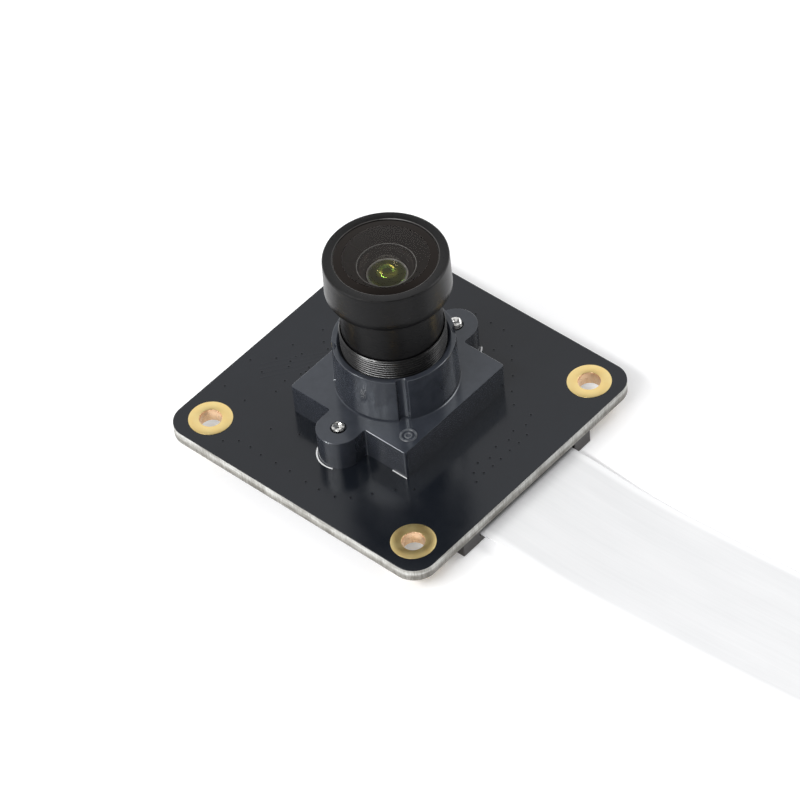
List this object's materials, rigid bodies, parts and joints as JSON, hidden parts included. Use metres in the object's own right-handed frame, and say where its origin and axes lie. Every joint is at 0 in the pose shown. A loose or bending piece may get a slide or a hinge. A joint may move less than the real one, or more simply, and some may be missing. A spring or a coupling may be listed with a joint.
{
  "type": "camera module",
  "caption": "Board camera with a screw-in wide lens in a flanged square holder and a flat ribbon cable latched into a connector under one edge.",
  "frame": {"origin": "centre of the four mounting holes, on the circuit board's underside", "axes": "+Z along the lens axis, from the board towards the front glass; +X towards the edge where the ribbon leaves; +Y along that edge"},
  "size_m": [0.1838, 0.0395, 0.0269],
  "materials": {
    "solder_mask": "satin",
    "gold": "satin",
    "holder_plastic": "fine matte",
    "screw_steel": "bright",
    "black_anodised": "satin black",
    "front_glass": "coated, polished",
    "lens_glass": "coated, polished",
    "blackened_ring": "matte black",
    "filter_glass": "polished",
    "sensor_ceramic": "matte",
    "silicon": "polished",
    "cover_glass": "polished",
    "connector_plastic": "matte",
    "latch_plastic": "satin",
    "contact_metal": "bright",
    "tinned": "satin",
    "ribbon_film": "satin white",
    "stiffener_film": "satin blue",
    "oscillator_metal": "satin",
    "chip_resin": "fine matte",
    "ceramic_tan": "satin",
    "ferrite": "satin"
  },
  "bodies": {
    "board": {"pcb": "solder_mask", "hole_platings": "gold", "lens_holder": "holder_plastic", "holder_screws": "screw_steel", "ir_filter": "filter_glass", "sensor_package": "sensor_ceramic", "sensor_die": "silicon", "sensor_glass": "cover_glass", "connector_housing": "connector_plastic", "connector_contacts": "contact_metal", "connector_tabs": "tinned", "ribbon_cable": "ribbon_film", "ribbon_near_stiffener": "ribbon_film", "ribbon_near_contacts": "tinned", "ribbon_far_stiffener": "stiffener_film", "ribbon_far_contacts": "tinned", "oscillator": "oscillator_metal", "regulators": "chip_resin", "memory_chip": "chip_resin", "capacitors": "ceramic_tan", "resistors": "chip_resin", "ferrite_beads": "ferrite"},
    "optics": {"front_element": "front_glass", "second_element": "lens_glass", "front_spacer": "blackened_ring", "third_element": "lens_glass", "aperture_stop": "blackened_ring", "fourth_element": "lens_glass", "fifth_element": "lens_glass", "rear_spacer": "blackened_ring", "rear_element": "lens_glass"},
    "barrel": {"lens_barrel": "black_anodised", "retaining_ring": "black_anodised"},
    "latch": {"connector_latch": "latch_plastic"}
  },
  "joints": [
    {"name": "focus_slide", "type": "slide", "parent": "board", "child": "optics", "axis": [0, 0, 1], "range_m": [-0.00035, 0.00035]},
    {"name": "focus_turn", "type": "hinge", "parent": "optics", "child": "barrel", "pos_m": [0, 0, 0.015], "axis": [0, 0, 1], "range_deg": [-360, 360]},
    {"name": "latch_slide", "type": "slide", "parent": "board", "child": "latch", "axis": [1, 0, 0], "range_m": [0, 0.0012]}
  ],
  "couplings": [
    {"joint": "focus_turn", "follows": "focus_slide", "rad_per_m": 17952}
  ]
}
